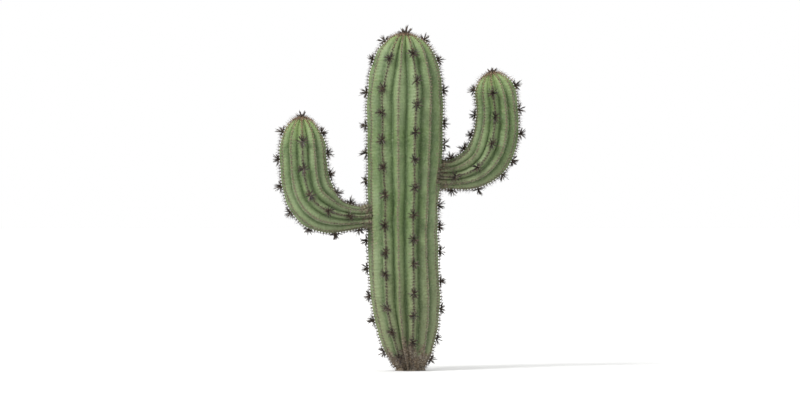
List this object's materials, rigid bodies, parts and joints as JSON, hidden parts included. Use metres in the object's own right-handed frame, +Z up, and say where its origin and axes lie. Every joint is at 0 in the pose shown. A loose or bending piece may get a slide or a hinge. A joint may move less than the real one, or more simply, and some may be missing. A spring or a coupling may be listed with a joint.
{
  "type": "saguaro cactus",
  "caption": "Saguaro cactus: a tall ribbed trunk with a rounded crown and an upturned arm on each side, each limb topped by a tuft of spines.",
  "frame": {"origin": "middle of the flat cut under the trunk, at ground level", "axes": "+Z up along the trunk, +X towards the higher arm on the right, -Y towards the front"},
  "size_m": [2.2858, 0.8276, 3.2998],
  "materials": {
    "trunk_skin": "waxy grey-green cactus skin, corky brown near the ground",
    "left_arm_lower_skin": "waxy green cactus skin",
    "left_arm_upper_skin": "waxy green cactus skin",
    "right_arm_lower_skin": "waxy green cactus skin",
    "right_arm_upper_skin": "waxy green cactus skin",
    "trunk_crown_tuft_spines": "wool and young spines",
    "left_arm_crown_tuft_spines": "wool and young spines",
    "right_arm_crown_tuft_spines": "wool and young spines"
  },
  "bodies": {
    "root": {"trunk": "trunk_skin", "left_arm_lower": "left_arm_lower_skin", "left_arm_upper": "left_arm_upper_skin", "right_arm_lower": "right_arm_lower_skin", "right_arm_upper": "right_arm_upper_skin", "trunk_crown_tuft": "trunk_crown_tuft_spines", "left_arm_crown_tuft": "left_arm_crown_tuft_spines", "right_arm_crown_tuft": "right_arm_crown_tuft_spines"}
  },
  "joints": []
}
